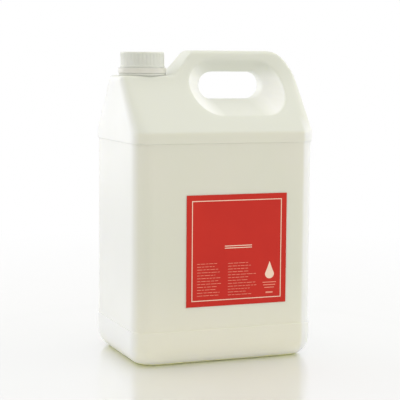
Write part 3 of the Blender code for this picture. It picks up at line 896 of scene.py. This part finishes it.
@dataclass
class Cap:
    """Screw cap with ribs, a plain lip and an inner thread."""

    ribs: int = 36
    cuts_per_rib: int = 6
    groove_cuts: int = 2
    rib_depth: float = 0.35 * MM
    radius: float = 20.8 * MM
    inner_radius: float = 18.95 * MM
    lip_radius: float = 21.3 * MM
    lip_height: float = 1.8 * MM
    lip_slopes: Span = (0.5 * MM, 1.0 * MM)
    skirt_drop: float = 0.3 * MM
    top_thickness: float = 1.3 * MM
    edge_radius: float = 1.0 * MM
    groove_end: float = 1.6 * MM
    groove_slope: float = 0.5 * MM
    dish_inset: float = 4.5 * MM
    dish_slope: float = 0.8 * MM
    dish_depth: float = 0.35 * MM
    thread_above_edge: float = 2 * MM
    thread_sink: float = 0.3 * MM
    thread_turns: float = 1.5
    thread_lead_turns: float = 0.3

    def build(self, can: Can) -> None:
        """Make the cap and set it on its body.

        Args:
            can: The can whose neck it closes.
        """
        low, high = (corner.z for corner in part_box("screw_cap"))
        thread_start = low + self.thread_above_edge
        low -= self.skirt_drop
        centre = can.neck_centre
        deselect_all()
        bpy.ops.mesh.primitive_cylinder_add(
            vertices=self.ribs * self.cuts_per_rib, radius=self.radius, depth=high - low,
            end_fill_type="NGON", location=(centre.x, 0, (low + high) / 2))
        cap = bpy.context.active_object
        cap.name = cap.data.name = "ribbed_cap"
        apply_place(cap)
        lip_top = low + self.lip_height
        groove_top = high - self.groove_end
        cut_levels(cap, (lip_top, *(lip_top + slope for slope in self.lip_slopes),
                         groove_top - self.groove_slope, groove_top))
        lip_limit = lip_top + NEAR
        self.set_radius(cap, lambda co: co.z < lip_limit, self.lip_radius, centre)
        self.round_top(cap, high)
        self.press_grooves(cap, lip_top, groove_top, centre)
        self.hollow(cap, low, high)
        thread = THREAD.ridge("cap_thread", self.inner_radius + self.thread_sink,
                              self.inner_radius - THREAD.depth, thread_start,
                              self.thread_turns, centre, self.thread_lead_turns)
        join(cap, thread)
        smooth(cap, 32)
        finish_piece(cap, CAP_FINISH, Body.CAP, "screw_cap")

    def set_radius(self, cap: Piece, test: Test, radius: float, centre: Vector) -> None:
        """Move vertices of the skirt in or out.

        Args:
            cap: The cap.
            test: Says which vertices move.
            radius: The radius they go to.
            centre: The cap's axis.
        """
        edit(cap)
        select_verts(cap, test)
        factor = radius / self.radius
        bpy.ops.transform.resize(value=(factor, factor, 1), center_override=centre)
        deselect_all()

    def round_top(self, cap: Piece, high: float) -> None:
        """Round the top edge and press a shallow dish into the top."""
        edit(cap, "FACE")
        select_faces(cap, lambda at, normal: normal.z > 0.9 and at.z > high - NEAR)
        bpy.ops.mesh.region_to_loop()
        bpy.ops.mesh.bevel(offset=self.edge_radius, segments=3, profile=0.5, affect="EDGES")
        bpy.ops.mesh.select_mode(type="FACE")
        select_faces(cap, lambda at, normal: normal.z > 0.99 and at.z > high - NEAR)
        bpy.ops.mesh.inset(thickness=self.dish_inset, depth=0)
        bpy.ops.mesh.inset(thickness=self.dish_slope, depth=-self.dish_depth)
        deselect_all()

    def press_grooves(self, cap: Piece, lip_top: float, groove_top: float,
                      centre: Vector) -> None:
        """Press the grooves between the ribs into the skirt.

        Args:
            cap: The cap.
            lip_top: Height of the lip's top.
            groove_top: Height where the skirt is round again.
            centre: The cap's axis.
        """
        start = lip_top + self.lip_slopes[1] - 2 * NEAR
        end = groove_top - self.groove_slope + 2 * NEAR
        cuts = self.ribs * self.cuts_per_rib

        def in_groove(co: Vector) -> bool:
            """Whether a vertex lies on the floor of a groove."""
            around = math.atan2(co.y, co.x - centre.x) / FULL_TURN * cuts
            on_skirt = math.hypot(co.x - centre.x, co.y) > self.radius - 1 * MM
            step = round(around) % self.cuts_per_rib
            return start < co.z < end and step < self.groove_cuts and on_skirt

        self.set_radius(cap, in_groove, self.radius - self.rib_depth, centre)

    def hollow(self, cap: Piece, low: float, high: float) -> None:
        """Hollow the cap out from below."""
        edit(cap, "FACE")
        select_faces(cap, lambda at, normal: normal.z < -0.9 and at.z < low + NEAR)
        bpy.ops.mesh.inset(thickness=self.lip_radius - self.inner_radius, depth=0)
        rise = high - low - self.top_thickness
        bpy.ops.mesh.extrude_region_move(TRANSFORM_OT_translate={"value": (0, 0, rise)})
        bpy.ops.mesh.select_all(action="SELECT")
        bpy.ops.mesh.normals_make_consistent(inside=False)
        deselect_all()


@dataclass
class TamperRing:
    """Ring that stays hooked under the neck's bead, with the stubs that tear off the cap."""

    clearance: float = 1.1 * MM
    wall: float = 1.0 * MM
    edge: float = 0.3 * MM
    catch: float = 0.4 * MM
    hook_height: float = 1.2 * MM
    bead_above_ring: float = 2.2 * MM
    stubs: int = 12
    stub_height: float = 0.3 * MM
    stub_sink: float = 0.2 * MM
    stub_width: float = 1.1 * MM
    stub_wall_share: float = 0.6
    stub_taper: float = 0.55

    def build(self, can: Can) -> None:
        """Make the ring and set it on the can.

        Args:
            can: The can whose neck it stays on.
        """
        low, high = (corner.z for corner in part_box("tamper_ring"))
        inner = can.bead_radius + self.clearance
        outer = inner + self.wall
        hook = can.bead_radius - self.catch
        hook_top = low + self.bead_above_ring - FIT_GAP
        section = [
            (inner, high),
            (outer - self.edge, high),
            (outer, high - self.edge),
            (outer, low + self.edge),
            (outer - self.edge, low),
            (inner, low),
            (hook, hook_top - self.hook_height),
            (hook, hook_top),
            (inner, hook_top),
        ]
        ring = turned("tear_ring", section, can.neck_centre)
        stubs = [self.stub(index, inner, high, can.neck_centre) for index in range(self.stubs)]
        join(ring, *stubs)
        ring.name = ring.data.name = "tear_ring"
        smooth(ring, 35)
        finish_piece(ring, RING_FINISH, Body.CAN, "tamper_ring")

    def stub(self, index: int, inner: float, top: float, centre: Vector) -> Piece:
        """One stub of the bridges between ring and cap.

        Args:
            index: Its number round the ring.
            inner: The ring's inner radius.
            top: Height of the ring's top.
            centre: The neck's axis.

        Returns:
            The stub.
        """
        half = self.stub_width / 2
        outer = inner + self.wall * self.stub_wall_share
        stub = block("stub", (inner, -half, top - self.stub_sink),
                     (outer, half, top + self.stub_height))
        edit(stub)
        select_verts(stub, lambda co: co.z > top)
        bpy.ops.transform.resize(value=(1, self.stub_taper, 1), center_override=(inner, 0, top))
        turn_about(stub, centre, FULL_TURN * (index + 0.5) / self.stubs)
        return stub


@dataclass
class Label:
    """Square film on the front, with a printed frame line, rows of dashes and a drop.

    Places on it are shares of its width and height from its lower left corner. A bar is given
    by its left, right, lower and upper side, and a column by its left, right and top.
    """

    ink_height: float = 0.03 * MM
    ink_sink: float = 0.02 * MM
    film_back: float = 0.25 * MM
    film_edge: float = 0.06 * MM
    frame_inset: float = 5.2 * MM
    line_width: float = 0.75 * MM
    title_bars: Bars = ((0.378, 0.650, 0.534, 0.541), (0.378, 0.650, 0.515, 0.522))
    columns: Bars = ((0.105, 0.372, 0.385), (0.412, 0.725, 0.380))
    rows: int = 12
    row_pitch: float = 2.72 * MM
    row_height: float = 0.42 * MM
    shortest_row: float = 0.62
    dash_lengths: Span = (0.02, 0.06)
    dash_gap: float = 0.008
    shortest_dash: float = 0.01
    seed: int = 7
    small_bars: Bars = ((0.795, 0.866, 0.090, 0.104), (0.762, 0.900, 0.187, 0.193),
                        (0.770, 0.892, 0.163, 0.169), (0.782, 0.880, 0.139, 0.145))
    drop_at: Span = (0.832, 0.268)
    drop_radius: float = 4.6 * MM
    drop_tip: float = 7.0 * MM
    drop_steps: int = 48
    low: Vector = field(init=False)
    high: Vector = field(init=False)

    def __post_init__(self) -> None:
        """Take the film's box from the frame."""
        self.low, self.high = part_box("front_label")

    def build(self) -> None:
        """Make the film and its print and set them on the can."""
        film = block("label_film", self.low, self.high + Vector((0, self.film_back, 0)))
        edit(film, "EDGE", "SELECT")
        bpy.ops.mesh.bevel(offset=self.film_edge, segments=1, affect="EDGES")
        deselect_all()
        finish_piece(film, LABEL_RED, Body.CAN, "front_label")
        marks = self.frame_line() + self.bars(self.title_bars) + [self.drop()]
        self.print_piece("label_print", marks, LABEL_CREAM)
        marks = self.text_columns() + self.bars(self.small_bars)
        self.print_piece("label_small_print", marks, LABEL_PINK)

    def print_piece(self, name: str, marks: list[Piece], finish: LabelFilm) -> None:
        """Join marks into one piece of print and set it on the can.

        Args:
            name: Its name.
            marks: Its bars and shapes.
            finish: Its ink.
        """
        ink = marks[0]
        join(ink, *marks[1:])
        ink.name = ink.data.name = name
        finish_piece(ink, finish, Body.CAN)

    def at(self, across: float, up: float) -> Span:
        """Where a place on the label lies along X and Z."""
        size = self.high - self.low
        return (self.low.x + across * size.x, self.low.z + up * size.z)

    def bar(self, left: float, right: float, bottom: float, top: float) -> Piece:
        """One printed bar, by the places of its sides."""
        (low_x, low_z), (high_x, high_z) = self.at(left, bottom), self.at(right, top)
        face = self.low.y
        return block("bar", (low_x, face - self.ink_height, low_z),
                     (high_x, face + self.ink_sink, high_z))

    def frame_line(self) -> list[Piece]:
        """The four sides of the frame line."""
        size = self.high - self.low
        left, bottom = self.frame_inset / size.x, self.frame_inset / size.z
        right, top = 1 - left, 1 - bottom
        wide, tall = self.line_width / size.x, self.line_width / size.z
        return self.bars((
            (left, right, bottom, bottom + tall),
            (left, right, top - tall, top),
            (left, left + wide, bottom + tall, top - tall),
            (right - wide, right, bottom + tall, top - tall),
        ))

    def bars(self, table: Bars) -> list[Piece]:
        """The printed bars of a table."""
        return [self.bar(*sides) for sides in table]

    def text_columns(self) -> list[Piece]:
        """Two columns of short dashes in rows."""
        draw = random.Random(self.seed)
        pitch = self.row_pitch / (self.high.z - self.low.z)
        dashes = []
        for left, right, top in self.columns:
            for row in range(self.rows):
                end = left + (right - left) * draw.uniform(self.shortest_row, 1.0)
                dashes += self.dash_row(left, end, top - row * pitch, draw)
        return dashes

    def dash_row(self, left: float, right: float, middle: float,
                 draw: random.Random) -> list[Piece]:
        """One row of dashes.

        Args:
            left: Where it starts.
            right: Where it ends.
            middle: Its height.
            draw: Source of the dashes' lengths.

        Returns:
            The dashes.
        """
        half = self.row_height / 2 / (self.high.z - self.low.z)
        dashes = []
        at = left
        while at < right - self.shortest_dash:
            end = min(right, at + draw.uniform(*self.dash_lengths))
            dashes.append(self.bar(at, end, middle - half, middle + half))
            at = end + self.dash_gap
        return dashes

    def drop(self) -> Piece:
        """A plain drop: a flat disc drawn up into a tip."""
        thickness = self.ink_height + self.ink_sink
        centre_x, centre_z = self.at(*self.drop_at)
        deselect_all()
        bpy.ops.mesh.primitive_cylinder_add(
            vertices=self.drop_steps, radius=self.drop_radius, depth=thickness,
            location=(centre_x, self.low.y - self.ink_height + thickness / 2, centre_z),
            rotation=(math.pi / 2, 0, 0))
        drop = bpy.context.active_object
        apply_place(drop)
        for vert in drop.data.vertices:
            rise = max(0.0, (vert.co.z - centre_z) / self.drop_radius)
            vert.co.z += rise * rise * self.drop_tip
            vert.co.x = centre_x + (vert.co.x - centre_x) * (1 - 0.7 * rise ** 1.5)
        return drop


class Contents:
    """The nodes that keep the frame's shape: the sealing wad and the soap."""

    def build(self) -> None:
        """Give both nodes their finishes."""
        finishes = (("cap_liner", FoamWad(), Slot.LINER), ("liquid_soap", CloudySoap(), Slot.SOAP))
        for node, finish, slot in finishes:
            dress(frame["nodes"][node], finish)
            LOG.info("%s keeps its frame shape", node)


# Studio


@dataclass(frozen=True)
class SoftBox:
    """A soft area lamp that faces the can."""

    name: str
    at: Place
    size: Span
    power: float
    aim: Place = (0, 0, 0.15)

    def build(self) -> None:
        """Hang the lamp."""
        data = bpy.data.lights.new(self.name, "AREA")
        data.shape = "RECTANGLE"
        data.size, data.size_y = self.size
        data.energy = self.power
        lamp = linked(self.name, data)
        lamp.location = self.at
        lamp.rotation_mode = "QUATERNION"
        lamp.rotation_quaternion = (Vector(self.aim) - Vector(self.at)).to_track_quat("-Z", "Y")


SOFT_BOXES = (
    SoftBox("left box", (-0.95, 1.35, 0.5), (1.4, 1.6), 7.5),
    SoftBox("right box", (1.42, -0.3, 0.5), (1.4, 1.6), 6),
    SoftBox("top box", (0.0, -0.1, 1.6), (1.8, 1.8), 3.4),
)


@dataclass
class Studio:
    """Camera, floor and surround."""

    camera_at: Place = (-0.4710, -1.2005, 0.2851)
    yaw: float = 0.3718
    pitch: float = 0.1064
    roll: float = 0.0076
    focal_pixels: float = 1328.0
    image_side: float = 400.0
    sensor: float = 36.0
    front_light: Colour = (0.89, 0.87, 0.78)
    back_light: Colour = (0.95, 0.95, 0.95)
    light_turn: Span = (-0.5, 0.4)
    floor_side: float = 12
    floor_colour: Colour = (0.78, 0.785, 0.79)
    floor_roughness: float = 0.3
    mirror_share: float = 0.5
    mirror_roughness: float = 0.12
    floor_fade: Span = (0.25, 0.9)

    def camera(self) -> None:
        """Set up the camera at the photograph's angle."""
        data = bpy.data.cameras.new("camera")
        data.sensor_width = self.sensor
        data.lens = self.focal_pixels * self.sensor / self.image_side
        data.clip_start, data.clip_end = 0.01, 50
        camera = linked("camera", data)
        right = Vector((math.cos(self.yaw), -math.sin(self.yaw), 0))
        forward = Vector((math.sin(self.yaw) * math.cos(self.pitch),
                          math.cos(self.yaw) * math.cos(self.pitch), -math.sin(self.pitch)))
        up = right.cross(forward)
        across = right * math.cos(self.roll) + up * math.sin(self.roll)
        upright = up * math.cos(self.roll) - right * math.sin(self.roll)
        turn = Matrix((across, upright, -forward)).transposed().to_4x4()
        camera.matrix_world = Matrix.Translation(self.camera_at) @ turn
        bpy.context.scene.camera = camera

    def world(self) -> None:
        """Plain surround: white where it is seen, softer where it lights."""
        sheet = NodeSheet(bpy.data.worlds.new("surround"), "Background")
        bpy.context.scene.world = sheet.owner
        direction = sheet.add("ShaderNodeTexCoord").outputs["Generated"]
        turn = sheet.spread(sheet.parts(direction)["Y"], 0, 1, *self.light_turn, "SMOOTHSTEP")
        room = sheet.mix(turn, self.front_light, self.back_light)
        sheet.set(Color=sheet.mix(sheet.seeing_rays(), room, WHITE), Strength=1.0)

    def floor(self) -> None:
        """Pale glossy floor that fades to white away from the can."""
        deselect_all()
        bpy.ops.mesh.primitive_plane_add(size=self.floor_side, location=(0, 0, 0))
        floor = bpy.context.active_object
        floor.name = "studio_floor"
        sheet = NodeSheet(bpy.data.materials.new("floor_gloss"))
        sheet.set(Base_Color=(*self.floor_colour, 1), Roughness=self.floor_roughness, IOR=1.5)
        mirror = sheet.add("ShaderNodeBsdfGlossy")
        sheet.fill(mirror, Color=(*WHITE, 1), Roughness=self.mirror_roughness)
        polished = sheet.blend(self.mirror_share, sheet.shader, mirror)
        glow = sheet.add("ShaderNodeEmission")
        sheet.fill(glow, Color=(*WHITE, 1), Strength=1.0)
        far = sheet.spread(sheet.length(sheet.place()), 0, 1, *self.floor_fade)
        seen = sheet.blend(sheet.calc("MULTIPLY", far, sheet.seeing_rays()), polished, glow)
        sheet.fill(sheet.tree.nodes["Material Output"], Surface=seen.outputs[0])
        floor.data.materials.append(sheet.owner)

    def build(self) -> None:
        """Set up the whole studio."""
        self.camera()
        self.world()
        self.floor()
        for lamp in SOFT_BOXES:
            lamp.build()
        bpy.context.scene.view_settings.view_transform = "Standard"


def main() -> None:
    """Build every piece and the studio."""
    logging.basicConfig(level=logging.INFO, format="%(name)s: %(message)s")
    Studio().build()
    can = Can()
    can.build()
    Cap().build(can)
    TamperRing().build(can)
    Contents().build()
    Label().build()
    bpy.context.view_layer.update()


if __name__ == "__main__":
    main()
